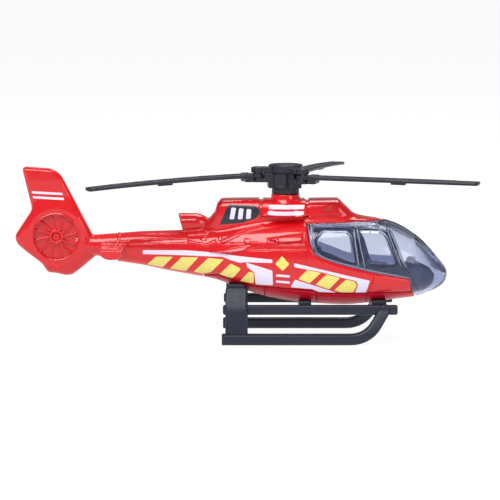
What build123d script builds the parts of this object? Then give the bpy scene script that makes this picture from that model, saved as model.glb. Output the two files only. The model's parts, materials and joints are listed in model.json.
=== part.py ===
from build123d import *
import math
import os

# Toy helicopter, millimetres. +X is the nose, +Z is up, and Y = 0 is the mirror plane.
# The origin is on the ground, straight below the rotor mast.

# ---- fuselage -------------------------------------------------------------------------
WALL = 1.3  # die-cast and moulded shells
# Hull stations: x, half width, keel z, z of the widest point, roof z, upper and lower exponent.
HULL = [
    (-64.0, 2.4, 25.6, 28.5, 31.2, 2.0, 2.0),
    (-57.0, 3.2, 24.9, 28.3, 31.6, 2.0, 2.0),
    (-50.0, 3.7, 23.2, 27.8, 32.1, 2.1, 2.1),
    (-43.0, 4.3, 22.1, 27.4, 32.7, 2.2, 2.2),
    (-36.0, 5.1, 20.6, 27.0, 32.9, 2.2, 2.3),
    (-29.0, 6.3, 19.4, 26.4, 33.2, 2.3, 2.3),
    (-22.0, 8.0, 18.0, 25.6, 34.0, 2.3, 2.3),
    (-14.0, 10.4, 15.2, 24.2, 35.4, 2.4, 2.4),
    (-5.0, 12.1, 12.6, 23.0, 36.8, 2.5, 2.5),
    (6.0, 12.6, 10.9, 22.2, 37.6, 2.6, 2.6),
    (18.0, 12.6, 10.3, 21.6, 37.8, 2.6, 2.6),
    (26.0, 12.2, 10.9, 21.2, 37.0, 2.5, 2.5),
    (33.0, 11.1, 11.8, 21.0, 35.2, 2.4, 2.4),
    (39.5, 9.5, 12.6, 20.8, 31.5, 2.3, 2.3),
    (44.5, 7.3, 14.2, 20.3, 27.0, 2.2, 2.2),
    (48.0, 4.4, 16.4, 19.9, 22.9, 2.1, 2.1),
    (49.5, 1.6, 18.4, 19.8, 21.4, 2.0, 2.0),
]
RING_POINTS = 28  # points round one hull section
CAVITY_REAR = -21.0  # the casting is solid behind this
CAVITY_FRONT = 47.0
CAVITY_STATIONS = (-36.0, 48.0)  # first and last hull stations that the cavity follows

# Side outlines, as (x, z), of the areas that the belly plate and the glazing take from the hull.
BELLY_OUTLINE = [
    (-24.0, 19.7),
    (-20.5, 20.3),
    (-13.8, 18.0),
    (-9.4, 17.3),
    (1.7, 16.5),
    (7.5, 16.1),
    (9.8, 15.2),
    (38.3, 15.2),
    (39.2, 13.7),
    (40.0, 5.0),
    (-24.0, 5.0),
]
GLAZING_OUTLINE = [
    (6.3, 40.0),
    (6.3, 35.6),
    (7.5, 29.8),
    (9.2, 26.7),
    (16.2, 24.1),
    (26.1, 21.6),
    (37.3, 19.3),
    (38.3, 15.2),
    (39.2, 13.7),
    (40.0, 5.0),
    (55.0, 5.0),
    (55.0, 40.0),
]
# Half of the roof tongue that stays in the casting, as (x, y), ending in the windscreen's centre post.
ROOF_TONGUE = [(0.0, 0.0), (0.0, 7.0), (6.3, 7.0), (18.0, 6.7), (24.5, 5.2), (28.3, 2.6), (29.8, 0.0)]

# Engine and gearbox cowl on the roof, in stations like the hull's. Its low side is inside the hull.
COWL = [
    (-24.3, 3.0, 30.0, 33.0, 35.6, 3.0, 2.0),
    (-21.7, 4.3, 30.0, 34.0, 38.8, 3.5, 2.0),
    (-20.6, 4.9, 30.0, 35.0, 41.6, 4.0, 2.0),
    (-19.0, 5.1, 30.0, 35.0, 42.7, 4.0, 2.0),
    (-8.0, 5.9, 30.0, 35.0, 42.8, 4.0, 2.0),
    (0.0, 6.2, 30.0, 35.0, 42.6, 4.0, 2.0),
    (15.6, 5.9, 30.0, 35.0, 42.8, 4.0, 2.0),
    (18.2, 5.4, 30.0, 35.0, 40.8, 3.5, 2.0),
    (21.2, 4.6, 30.0, 34.0, 38.0, 3.0, 2.0),
    (26.5, 2.4, 30.0, 33.0, 35.4, 2.5, 2.0),
]
COWL_JOINTS = (-8.1, 7.5)  # grooves between the cowl panels
GROOVE_WIDTH, GROOVE_DEPTH = 0.6, 0.4
GROOVE_LOW = 37.5
COWL_HALF_WIDTH, COWL_TOP = 6.1, 42.4  # at both joints
COLLAR_RADIUS, COLLAR_FLARE, COLLAR_LOW, COLLAR_TOP = 4.3, 0.6, 41.6, 44.1

# Exhaust stub behind the cowl.
EXHAUST_RADIUS = 2.9
EXHAUST_Z = 35.2
EXHAUST_REAR, EXHAUST_FRONT = -32.6, -24.0
EXHAUST_LEAN = 12.0  # degrees that the rear face leans
EXHAUST_BORE, EXHAUST_DEPTH = 2.1, 1.4
EXHAUST_WEB = 2.2  # half thickness of the web between the stub and the boom

# Tail: fin and fan housing in one casting.
FIN_OUTLINE = [
    (-80.2, 52.4),
    (-70.9, 51.6),
    (-68.4, 49.6),
    (-57.0, 28.0),
    (-57.3, 25.4),
    (-62.0, 21.0),
    (-64.6, 19.1),
    (-66.2, 18.6),
    (-72.2, 19.6),
    (-74.7, 22.8),
    (-82.1, 28.8),
    (-82.6, 31.3),
    (-77.3, 39.1),
    (-77.5, 40.9),
]
FIN_THICKNESS = 3.0
FIN_CORNER = 0.8
FAN_X, FAN_Z = -69.8, 31.1
FAN_RIM_RADIUS, FAN_RADIUS, FAN_HUB_RADIUS = 8.2, 6.4, 2.0
FAN_HOUSING_THICKNESS = 5.4
FAN_RECESS = 1.2
FAN_SPOKES = 11
FAN_SPOKE_WIDTH, FAN_SPOKE_HEIGHT = 0.55, 0.5

# Tailplane across the boom.
TAILPLANE_FRONT, TAILPLANE_REAR = -48.9, -55.5
TAILPLANE_HALF_SPAN = 16.5
TAILPLANE_TOP, TAILPLANE_LOW = 28.7, 25.9

# Posts cast under the roof, and the rivets that pull two gear beams and the belly plate up to them.
POST_RADIUS, POST_TOP, POST_GAP = 1.9, 37.0, 0.9
RIVET_RADIUS, RIVET_HEAD_RADIUS, RIVET_HEAD = 1.0, 1.7, 0.6
RIVET_DEPTH = 4.0  # how far a rivet goes into its post

# ---- cabin interior -------------------------------------------------------------------
INTERIOR_GAP = 0.25
FLOOR_LOW, FLOOR_TOP = 15.4, 17.0
FLOOR_REAR, FLOOR_FRONT = 8.6, 41.0
SEAT_WIDTH, SEAT_SPACING = 7.4, 5.2
SEAT_OUTLINE = [(24.0, 16.5), (24.0, 22.5), (21.6, 31.4), (23.6, 31.6), (26.2, 22.6), (32.0, 21.6), (32.0, 16.5)]
BENCH_OUTLINE = [(9.0, 16.5), (9.0, 20.6), (9.4, 27.0), (11.2, 27.0), (12.2, 20.6), (17.0, 20.0), (17.0, 16.5)]
CONSOLE_OUTLINE = [(36.8, 16.5), (37.9, 24.0), (40.2, 23.8), (42.8, 22.2), (44.6, 19.6), (43.6, 17.6), (41.0, 16.5)]
CONSOLE_WIDTH = 13.0

# ---- landing gear ---------------------------------------------------------------------
SKID_Y, SKID_WIDTH, SKID_HEIGHT = 14.6, 3.0, 3.3
SKID_REAR, SKID_BEND, SKID_BEND_RADIUS = -19.3, 24.4, 5.0
SKID_TOE = (29.8, 11.6, 10.2)
STEP_Y, STEP_WIDTH, STEP_LOW, STEP_TOP = 11.5, 2.0, 8.65, 11.65
STEP_REAR, STEP_FRONT = -19.0, 33.7
STRUT_REAR, STRUT_FRONT = -18.3, -11.4
STRUT_SIDE = [(12.9, 2.6), (15.6, 2.6), (13.3, 11.0), (9.8, 16.9), (7.4, 16.9), (9.5, 10.4)]
STRUT_CORNER = 1.4
# Beams from side to side under the belly: rear x, front x, underside z, top z, reach in y.
BEAMS = {
    "rear": (-17.3, -12.4, 11.4, 17.0, 9.6),
    "mid": (4.0, 7.7, 9.2, 12.0, 10.5),
    "front": (26.0, 30.4, 9.2, 12.2, 10.5),
}
RIVETED_BEAMS = ("rear", "mid")

# ---- rotor ----------------------------------------------------------------------------
ARM_ANGLES = (-54.0, 66.0, 186.0)  # from +X towards +Y
BLADE_ANGLES = (-19.2, 73.9, 202.0)  # where each blade points in its fork
BLADE_DROOPS = (0.1, 2.0, 2.2)  # how far each tip hangs below its root
PIN_CIRCLE = 8.6
BLADE_LENGTH = 54.1  # from its pin to its tip
BLADE_CHORD, BLADE_THICKNESS = 5.2, 1.3
BLADE_LOW = 49.15
CUFF_START, CUFF_END, CUFF_WIDTH, CUFF_LOW, CUFF_TOP = 2.1, 4.6, 4.8, 48.0, 50.6
ROOT_RADIUS = 1.9
TAB_START, TAB_END, TAB_HEIGHT = 27.5, 32.0, 0.6
HUB_LOW, HUB_STEP, HUB_FLOOR, HUB_SEAT, HUB_TOP = 44.25, 46.0, 47.8, 49.1, 52.4
HUB_RING_RADIUS, HUB_RADIUS, CAP_RADIUS, CAP_HEIGHT = 4.2, 4.8, 5.2, 0.7
HUB_KNEE, HUB_WEB = 5.4, 6.4  # how far each arm's solid root reaches, low on the drum and between the arms
ARM_WIDTH, ARM_REACH, ARM_CORNER = 4.6, 9.9, 2.2
PLATE_LOW = 50.7
PIN_RADIUS, PIN_CLEARANCE = 0.6, 0.06
MAST_RADIUS, MAST_LOW, MAST_CLEARANCE = 1.2, 34.4, 0.06
RETAINER_RADIUS, RETAINER_LOW, RETAINER_TOP = 2.0, 34.8, 35.8


def side_prism(points, half_width, y_middle=0.0):
    """Solid between two planes of constant Y, from an outline of (x, z) points."""
    face = make_face(Polyline(*[(x, y_middle, z) for x, z in points], close=True))
    return extrude(face, amount=half_width, dir=(0, 1, 0), both=True)


def plan_prism(points, low, high):
    """Solid between two heights, from half a plan of (x, y) points that is mirrored in Y."""
    mirrored = [(x, -y) for x, y in reversed(points) if y > 0]
    face = make_face(Polyline(*[(x, y, low) for x, y in points + mirrored], close=True))
    return extrude(face, amount=high - low, dir=(0, 0, 1))


def block(x, y, z):
    """Box from three (low, high) pairs."""
    size = [high - low for low, high in (x, y, z)]
    middle = [(high + low) / 2 for low, high in (x, y, z)]
    return Pos(*middle) * Box(*size)


def post(x, y, radius, low, high):
    """Upright cylinder."""
    return Pos(x, y, (low + high) / 2) * Cylinder(radius, high - low)


def hull_section(station, inset):
    """Closed egg-shaped section of the hull, drawn in by inset all round."""
    x, width, keel, middle, roof, n_up, n_down = station
    points = []
    for k in range(RING_POINTS):
        turn = 2 * math.pi * k / RING_POINTS
        across, up = math.cos(turn), math.sin(turn)
        n = n_up if up >= 0 else n_down
        height = (roof - middle if up >= 0 else middle - keel) - inset
        y = math.copysign((width - inset) * abs(across) ** (2 / n), across)
        z = middle + math.copysign(height * abs(up) ** (2 / n), up)
        points.append((x, y, z))
    return make_face(Wire([Edge.make_spline(points, periodic=True)]))


def hull(inset=0.0):
    """Cabin and tail boom as one smooth solid. The inset one leaves out the nose tip and the boom."""
    if inset == 0:
        return loft([hull_section(s, 0.0) for s in HULL])
    first, last = CAVITY_STATIONS
    inner = [s for s in HULL if first <= s[0] <= last]
    body = loft([hull_section(s, inset) for s in inner])
    return body & block((CAVITY_REAR, CAVITY_FRONT - inset), (-20, 20), (0, 45))


def cowl():
    """Engine and gearbox cowl with its panel joints and the collar below the rotor."""
    body = loft([hull_section(s, 0.0) for s in COWL], ruled=True)
    for x in COWL_JOINTS:
        half = COWL_HALF_WIDTH - GROOVE_DEPTH
        ring = block((x - GROOVE_WIDTH / 2, x + GROOVE_WIDTH / 2), (-9, 9), (GROOVE_LOW, 45))
        core = block((x - 1, x + 1), (-half, half), (30, COWL_TOP - GROOVE_DEPTH))
        body -= ring - core
    height = COLLAR_TOP - COLLAR_LOW
    flare = Cone(COLLAR_RADIUS + COLLAR_FLARE, COLLAR_RADIUS, height)
    return body + Pos(0, 0, COLLAR_LOW + height / 2) * flare


def exhaust():
    """Exhaust stub, open at the rear and blended into the boom."""
    length = EXHAUST_FRONT - EXHAUST_REAR
    pipe = Pos(EXHAUST_REAR + length / 2, 0, EXHAUST_Z) * Rot(0, 90, 0) * Cylinder(EXHAUST_RADIUS, length + 2)
    web = block((EXHAUST_REAR, EXHAUST_FRONT + 1), (-EXHAUST_WEB, EXHAUST_WEB), (31.0, EXHAUST_Z))
    cutter = Pos(EXHAUST_REAR - 4.6, 0, EXHAUST_Z) * Rot(0, EXHAUST_LEAN, 0) * Box(10, 12, 14)
    bore = Pos(EXHAUST_REAR, 0, EXHAUST_Z) * Rot(0, 90, 0) * Cylinder(EXHAUST_BORE, 2 * EXHAUST_DEPTH + 1)
    return pipe + web - cutter - bore


def fan_face(side):
    """Recess, spokes and hub of the tail fan on one side, as (cut, added) solids."""
    face_y = side * FAN_HOUSING_THICKNESS / 2
    floor_y = face_y - side * FAN_RECESS
    turn = Rot(90, 0, 0)
    recess = Pos(FAN_X, face_y, FAN_Z) * turn * Cylinder(FAN_RADIUS, 2 * FAN_RECESS)
    raised = Pos(FAN_X, floor_y, FAN_Z) * turn * Cylinder(FAN_HUB_RADIUS, 2 * FAN_SPOKE_HEIGHT + 0.3)
    for k in range(FAN_SPOKES):
        spoke = Pos(0, 0, FAN_RADIUS / 2) * Box(FAN_SPOKE_WIDTH, 2 * FAN_SPOKE_HEIGHT, FAN_RADIUS)
        raised += Pos(FAN_X, floor_y, FAN_Z) * Rot(0, 360 / FAN_SPOKES * k + 8, 0) * spoke
    return recess, raised


def tail():
    """Fin, fan housing and tailplane."""
    fin = side_prism(FIN_OUTLINE, FIN_THICKNESS / 2)
    fin = fillet(fin.edges().filter_by(Axis.Y), FIN_CORNER)
    housing = Cylinder((FAN_RIM_RADIUS + 0.8), FAN_HOUSING_THICKNESS)
    housing = chamfer(housing.edges(), 1.0)
    body = fin + Pos(FAN_X, 0, FAN_Z) * Rot(90, 0, 0) * housing
    for side in (-1, 1):
        recess, raised = fan_face(side)
        body = body - recess + raised
    return body + tailplane()


def tailplane():
    """Straight tailplane: flat on top and rounded below."""
    middle = (TAILPLANE_FRONT + TAILPLANE_REAR) / 2
    chord = TAILPLANE_FRONT - TAILPLANE_REAR
    flat = Line((TAILPLANE_FRONT, 0, TAILPLANE_TOP), (TAILPLANE_REAR, 0, TAILPLANE_TOP))
    lip = TAILPLANE_TOP - 0.8
    rear = Line((TAILPLANE_REAR, 0, TAILPLANE_TOP), (TAILPLANE_REAR, 0, lip))
    belly = ThreePointArc(
        (TAILPLANE_REAR, 0, lip), (middle + 0.1 * chord, 0, TAILPLANE_LOW), (TAILPLANE_FRONT, 0, lip)
    )
    front = Line((TAILPLANE_FRONT, 0, lip), (TAILPLANE_FRONT, 0, TAILPLANE_TOP))
    face = make_face([flat, rear, belly, front])
    return extrude(face, amount=TAILPLANE_HALF_SPAN, dir=(0, 1, 0), both=True)


def belly_region():
    return side_prism(BELLY_OUTLINE, 20.0)


def glazing_region():
    """Everything that the glazing takes from the hull: its side outline, less the roof tongue."""
    tongue = plan_prism(ROOF_TONGUE, 30.0, 42.0)
    return side_prism(GLAZING_OUTLINE, 20.0) - tongue


def keel_height(x):
    """Height of the hull's keel, in straight steps between its stations."""
    for rear, front in zip(HULL, HULL[1:]):
        if rear[0] <= x <= front[0]:
            part = (x - rear[0]) / (front[0] - rear[0])
            return rear[2] + part * (front[2] - rear[2])


def rivet_places():
    """The x of each rivet, the z of its head's upper side and the z of its post's foot."""
    places = []
    for name in RIVETED_BEAMS:
        rear, front, low = BEAMS[name][:3]
        x = (rear + front) / 2
        places.append((x, low, keel_height(x) + WALL + POST_GAP))
    return places


def fuselage_shell(outer, inner):
    """Upper casting: cabin sides, roof, cowl, boom, fin, fan housing and tailplane."""
    shell = outer + tail() + exhaust() - inner - belly_region() - glazing_region()
    shell += cowl() - inner
    for x, _, foot in rivet_places():
        hole = post(x, 0, RIVET_RADIUS, foot, foot + RIVET_DEPTH)
        shell += post(x, 0, POST_RADIUS, foot, POST_TOP) - hole
    shell -= post(0, 0, MAST_RADIUS + MAST_CLEARANCE, 30.0, 50.0)
    return shell


def rivets():
    """Flat-headed rivets under the gear beams, as separate solids."""
    solids = []
    for x, seat, foot in rivet_places():
        head = post(x, 0, RIVET_HEAD_RADIUS, seat - RIVET_HEAD, seat)
        solids.append(head + post(x, 0, RIVET_RADIUS, seat, foot + RIVET_DEPTH))
    return solids


def belly_plate(outer, inner):
    """Lower casting that closes the cabin, with clearance for the rivets."""
    plate = (outer & belly_region()) - inner
    for rivet in rivets():
        plate -= rivet
    return plate


def canopy_glazing(outer, inner):
    """One clear moulding: windscreen, nose and side windows."""
    return (outer & glazing_region()) - inner


def cabin_interior():
    """Black moulding with the floor, two front seats, the rear bench and the console."""
    room = hull(WALL + INTERIOR_GAP)
    body = block((FLOOR_REAR, FLOOR_FRONT), (-20, 20), (FLOOR_LOW, FLOOR_TOP))
    for y in (-SEAT_SPACING, SEAT_SPACING):
        body += side_prism(SEAT_OUTLINE, SEAT_WIDTH / 2, y)
    body += side_prism(BENCH_OUTLINE, 9.5)
    body += side_prism(CONSOLE_OUTLINE, CONSOLE_WIDTH / 2)
    return body & room


def skid(side):
    """Ground runner with its toe bent up and in to the step bar."""
    mid = SKID_HEIGHT / 2
    toe = (SKID_TOE[0], side * SKID_TOE[1], SKID_TOE[2])
    start = (SKID_REAR, side * SKID_Y, mid)
    path = FilletPolyline(start, (SKID_BEND, side * SKID_Y, mid), toe, radius=SKID_BEND_RADIUS)
    section = Plane(origin=start, x_dir=(0, 1, 0), z_dir=(1, 0, 0)) * Rectangle(SKID_WIDTH, SKID_HEIGHT)
    return sweep(section, path=path)


def step_bar(side):
    """Straight bar above the skid, with a rounded front end."""
    low, high = STEP_LOW, STEP_TOP
    mid_y = side * STEP_Y
    y = (mid_y - STEP_WIDTH / 2, mid_y + STEP_WIDTH / 2)
    bar = block((STEP_REAR, STEP_FRONT), y, (low, high))
    return fillet(bar.edges().filter_by(Axis.Y).sort_by(Axis.X)[-2:], 1.2)


def rear_strut(side):
    """Wide flat leg from the skid up to the belly, leaning in."""
    points = [(STRUT_REAR, side * y, z) for y, z in STRUT_SIDE]
    face = make_face(Polyline(*points, close=True))
    leg = extrude(face, amount=STRUT_FRONT - STRUT_REAR, dir=(1, 0, 0))
    silhouette = Pos((STRUT_REAR + STRUT_FRONT) / 2, 0, 8.0) * Box(STRUT_FRONT - STRUT_REAR, 60, 17.8)
    silhouette = fillet(silhouette.edges().filter_by(Axis.Y), STRUT_CORNER)
    return leg & silhouette


def cross_beam(name, outer):
    """Bar across the underside of the belly, cut to the hull and drilled for its rivet."""
    rear, front, low, high, reach = BEAMS[name]
    beam = block((rear, front), (-reach, reach), (low, high)) - outer
    if name in RIVETED_BEAMS:
        beam -= post((rear + front) / 2, 0, RIVET_RADIUS, low - 1, high + 1)
    return beam


def polar(radius, degrees, z=0.0):
    return (radius * math.cos(math.radians(degrees)), radius * math.sin(math.radians(degrees)), z)


def arm(degrees, low, high):
    """Flat rotor arm with a rounded end, so that the blade's cuff can swing round it."""
    bar = block((0, ARM_REACH), (-ARM_WIDTH / 2, ARM_WIDTH / 2), (low, high))
    bar = fillet(bar.edges().filter_by(Axis.Z).sort_by(Axis.X)[-2:], ARM_CORNER)
    return Rot(0, 0, degrees) * bar


def rotor_hub():
    """Lower half of the hub: a stepped body with three arms that carry the blade roots."""
    body = post(0, 0, HUB_RING_RADIUS, HUB_LOW, HUB_STEP) + post(0, 0, HUB_RADIUS, HUB_STEP, PLATE_LOW)
    half = ARM_WIDTH / 2 - 0.1
    for degrees in ARM_ANGLES:
        body += arm(degrees, HUB_FLOOR, HUB_SEAT)
        knee = block((0, HUB_KNEE), (-half, half), (HUB_STEP, PLATE_LOW))
        web = block((0, HUB_WEB), (-half, half), (HUB_FLOOR, PLATE_LOW))
        body += Rot(0, 0, degrees) * (knee + web)
    for degrees in ARM_ANGLES:
        body -= post(*polar(PIN_CIRCLE, degrees)[:2], PIN_RADIUS, HUB_LOW, HUB_TOP)
    return body - post(0, 0, MAST_RADIUS, HUB_LOW - 1, HUB_TOP)


def star_plate():
    """Upper half of the hub: a round cap with three arms over the blade roots."""
    plate = post(0, 0, CAP_RADIUS, PLATE_LOW, HUB_TOP)
    cap = post(0, 0, CAP_RADIUS, HUB_TOP, HUB_TOP + CAP_HEIGHT)
    plate += chamfer(cap.edges().sort_by(Axis.Z)[-1], 0.4)
    for degrees in ARM_ANGLES:
        plate += arm(degrees, PLATE_LOW, HUB_TOP)
    for degrees in ARM_ANGLES:
        plate -= post(*polar(PIN_CIRCLE, degrees)[:2], PIN_RADIUS, PLATE_LOW - 1, HUB_TOP - 0.6)
    return plate - post(0, 0, MAST_RADIUS, PLATE_LOW - 1, HUB_TOP - 0.5)


def rotor_blade(number):
    """One blade, built along +X from its pin, then turned and put in its fork."""
    droop = BLADE_DROOPS[number]
    top = BLADE_LOW + BLADE_THICKNESS
    root, tip = CUFF_START, BLADE_LENGTH
    middle = (root + tip) / 2
    sag = 0.3 * droop
    upper = ThreePointArc((root, 0, top), (middle, 0, top - sag), (tip, 0, top - droop))
    lower = ThreePointArc(
        (root, 0, BLADE_LOW), (middle, 0, BLADE_LOW - sag), (tip, 0, BLADE_LOW - droop + 0.2)
    )
    band = make_face([upper, lower, Line(upper @ 0, lower @ 0), Line(upper @ 1, lower @ 1)])
    blade = extrude(band, amount=BLADE_CHORD / 2, dir=(0, 1, 0), both=True)
    blade = fillet(blade.edges().filter_by(Axis.Z).sort_by(Axis.X)[-2:], 0.9)
    cuff = block((CUFF_START, CUFF_END), (-CUFF_WIDTH / 2, CUFF_WIDTH / 2), (CUFF_LOW, CUFF_TOP))
    tongue = post(0, 0, ROOT_RADIUS, BLADE_LOW, top) + block(
        (0, CUFF_START), (-ROOT_RADIUS, ROOT_RADIUS), (BLADE_LOW, top)
    )
    tab_low = BLADE_LOW - sag - TAB_HEIGHT
    tab = block((TAB_START, TAB_END), (-0.8, 0.8), (tab_low, BLADE_LOW))
    whole = blade + cuff + tongue + tab
    whole -= post(0, 0, PIN_RADIUS + PIN_CLEARANCE, BLADE_LOW - 1, top + 1)
    return Pos(*polar(PIN_CIRCLE, ARM_ANGLES[number])) * Rot(0, 0, BLADE_ANGLES[number]) * whole


def blade_pins():
    """Three upright pins through the arms, as separate solids."""
    places = [polar(PIN_CIRCLE, degrees)[:2] for degrees in ARM_ANGLES]
    return [post(*place, PIN_RADIUS, HUB_FLOOR, HUB_TOP - 0.7) for place in places]


def rotor_mast():
    return post(0, 0, MAST_RADIUS, MAST_LOW, HUB_TOP - 0.6)


def mast_retainer():
    """Push-on ring that keeps the mast in the roof."""
    return post(0, 0, RETAINER_RADIUS, RETAINER_LOW, RETAINER_TOP) - post(0, 0, MAST_RADIUS, 30, 40)


def build():
    outer = hull()
    inner = hull(WALL)
    nodes = {
        "fuselage_shell": fuselage_shell(outer, inner),
        "belly_plate": belly_plate(outer, inner),
        "canopy_glazing": canopy_glazing(outer, inner),
        "cabin_interior": cabin_interior(),
        "belly_rivets": Compound(children=rivets()),
        "rotor_mast": rotor_mast(),
        "mast_retainer": mast_retainer(),
        "rotor_hub": rotor_hub(),
        "rotor_star_plate": star_plate(),
        "blade_pins": Compound(children=blade_pins()),
    }
    for side, word in ((1, "left"), (-1, "right")):
        bar = step_bar(side)
        runner = skid(side) - bar
        nodes["skid_" + word] = runner
        nodes["step_bar_" + word] = bar
        nodes["rear_strut_" + word] = rear_strut(side) - runner - bar - outer
    for name in BEAMS:
        beam = cross_beam(name, outer)
        for word in ("left", "right"):
            beam = beam - nodes["rear_strut_" + word] - nodes["skid_" + word]
        nodes["cross_beam_" + name] = beam
    for number, word in enumerate(("a", "b", "c")):
        nodes["rotor_blade_" + word] = rotor_blade(number)
    return nodes


os.makedirs("parts", exist_ok=True)
for node_name, shape in build().items():
    export_step(shape, f"parts/{node_name}.step")
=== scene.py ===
"""Die-cast toy helicopter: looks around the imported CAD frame.

Shapes are written in millimetres, in the CAD frame: +X is the nose, +Z is up, Y = 0 is the
mirror plane, and the origin is on the ground below the rotor mast.
"""

import json
import math
from concurrent.futures import ThreadPoolExecutor
from functools import reduce

import bmesh
import bpy
import numpy as np
from mathutils import Matrix, Vector
from mathutils.bvhtree import BVHTree
from mathutils.geometry import tessellate_polygon

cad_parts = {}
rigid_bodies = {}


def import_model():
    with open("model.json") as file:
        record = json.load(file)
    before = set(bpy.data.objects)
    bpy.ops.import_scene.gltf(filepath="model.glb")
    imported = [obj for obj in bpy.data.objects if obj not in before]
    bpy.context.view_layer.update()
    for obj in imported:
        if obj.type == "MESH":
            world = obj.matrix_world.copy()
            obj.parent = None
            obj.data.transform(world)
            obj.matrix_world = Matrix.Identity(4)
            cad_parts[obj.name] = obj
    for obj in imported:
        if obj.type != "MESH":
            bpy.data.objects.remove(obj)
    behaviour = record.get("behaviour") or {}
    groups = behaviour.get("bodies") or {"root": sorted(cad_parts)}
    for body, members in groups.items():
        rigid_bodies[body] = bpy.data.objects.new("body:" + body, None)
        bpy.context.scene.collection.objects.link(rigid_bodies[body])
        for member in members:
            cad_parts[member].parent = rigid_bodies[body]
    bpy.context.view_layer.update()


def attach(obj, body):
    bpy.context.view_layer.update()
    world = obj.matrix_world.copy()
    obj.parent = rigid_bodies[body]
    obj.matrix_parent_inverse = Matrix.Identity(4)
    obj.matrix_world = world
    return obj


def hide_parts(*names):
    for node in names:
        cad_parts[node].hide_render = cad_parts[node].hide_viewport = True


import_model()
MM = 0.001
SCENE = bpy.context.scene
SIDES = ((-1, "right"), (1, "left"))

# ---- implicit shapes ----
def smin(a, b, k):
    """Union with a fillet of about k."""
    h = np.maximum(k - abs(a - b), 0.0) / k
    return np.minimum(a, b) - h * h * k / 4


def smax(a, b, k):
    """Intersection with its edges rounded by about k."""
    return -smin(-a, -b, k)


def meet(*fields):
    """Sharp intersection."""
    return reduce(np.maximum, fields)


def join(*fields):
    """Sharp union."""
    return reduce(np.minimum, fields)


def clamp(t):
    """The value kept between 0 and 1."""
    return np.clip(t, 0, 1)


def ease(t):
    """From 0 to 1 with soft ends."""
    t = clamp(t)
    return t * t * (3 - 2 * t)


def monotone(xs, ys, x):
    """Smooth curve through points that never overshoots them."""
    xs, ys = np.asarray(xs, float), np.asarray(ys, float)
    h = np.diff(xs)
    slope = np.diff(ys) / h
    m = np.zeros_like(ys)
    m[0], m[-1] = slope[0], slope[-1]
    left, right = slope[:-1], slope[1:]
    same = left * right > 0
    w1, w2 = 2 * h[1:] + h[:-1], h[1:] + 2 * h[:-1]
    mean = (w1 + w2) / (w1 / np.where(same, left, 1) + w2 / np.where(same, right, 1))
    m[1:-1] = np.where(same, mean, 0)
    k = np.clip(np.searchsorted(xs, x) - 1, 0, len(xs) - 2)
    t = (x - xs[k]) / h[k]
    t2, t3 = t * t, t * t * t
    return (
        (2 * t3 - 3 * t2 + 1) * ys[k]
        + (t3 - 2 * t2 + t) * h[k] * m[k]
        + (3 * t2 - 2 * t3) * ys[k + 1]
        + (t3 - t2) * h[k] * m[k + 1]
    )


class Egg:
    """Body with an egg-shaped section at each station, rounded off at its front tip if it has one."""

    def __init__(self, rows, tip=None):
        columns = np.array(rows).T
        self.tip = tip
        along = columns[0] if tip is None else -np.sqrt(tip - columns[0])
        self.key = np.linspace(along[0], along[-1], 700)
        self.columns = [monotone(along, c, self.key) for c in columns[1:]]
        self.ends = (columns[0][0], columns[0][-1])

    def __call__(self, x, y, z, inset=0.0):
        key = x if self.tip is None else -np.sqrt(np.maximum(self.tip - x, 0.0))
        width, keel, middle, roof, n_up, n_down = (np.interp(key, self.key, c) for c in self.columns)
        up = z >= middle
        n = np.where(up, n_up, n_down)
        height = np.maximum(np.where(up, roof - middle, middle - keel) - inset, 0.05)
        width = np.maximum(width - inset, 0.05)
        off = z - middle
        rho = (abs(y) / width) ** n + (abs(off) / height) ** n
        rho = np.maximum(rho, 1e-6) ** (1 / n)
        radius = np.sqrt(y * y + off * off)
        out = radius - radius / np.maximum(rho, 1e-4)
        out = np.where(rho < 1e-2, -np.minimum(width, height), out)
        return meet(out, self.ends[0] - x, x - self.ends[1])


def run_distance(u, v, run):
    """Distance in a plane to a run of straight pieces."""
    best = np.full(np.shape(u), 1e9)
    for (au, av), (bu, bv) in zip(run, run[1:]):
        eu, ev = bu - au, bv - av
        t = clamp(((u - au) * eu + (v - av) * ev) / (eu * eu + ev * ev))
        best = np.minimum(best, (u - au - eu * t) ** 2 + (v - av - ev * t) ** 2)
    return np.sqrt(best)


def polygon(points):
    """Signed distance to a closed outline, negative inside, as a function of (u, v)."""
    run = [*points, points[0]]

    def distance(u, v):
        inside = np.zeros(np.shape(u), bool)
        for (au, av), (bu, bv) in zip(run, run[1:]):
            if av != bv:
                inside ^= ((av > v) != (bv > v)) & (u < (bu - au) * (v - av) / (bv - av) + au)
        return np.where(inside, -1, 1) * run_distance(u, v, run)

    return distance


def bend(a, corner, b, count):
    """Points along a short curve from a to b that aims at the corner."""
    steps = [k / (count - 1) for k in range(count)]
    return [tuple((1 - t) ** 2 * a + 2 * t * (1 - t) * corner + t * t * b) for t in steps]


def rounded(points, radius):
    """The outline with each corner replaced by a short curve."""
    points = [Vector(p) for p in points]
    out = []
    for k, corner in enumerate(points):
        before, after = points[k - 1] - corner, points[(k + 1) % len(points)] - corner
        reach = min(radius, 0.45 * before.length, 0.45 * after.length)
        out += bend(corner + before.normalized() * reach, corner, corner + after.normalized() * reach, 5)
    return out


def curve(points, steps=6):
    """Smooth open curve through points."""
    points = [Vector(p) for p in points]
    padded = [2 * points[0] - points[1], *points, 2 * points[-1] - points[-2]]
    out = []
    for a, b, c, d in zip(padded, padded[1:], padded[2:], padded[3:]):
        for step in range(steps):
            t = step / steps
            p = 2 * b + (c - a) * t + (2 * a - 5 * b + 4 * c - d) * t * t
            out.append(tuple((p + (3 * b - a - 3 * c + d) * t**3) / 2))
    return [*out, tuple(points[-1])]


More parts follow.
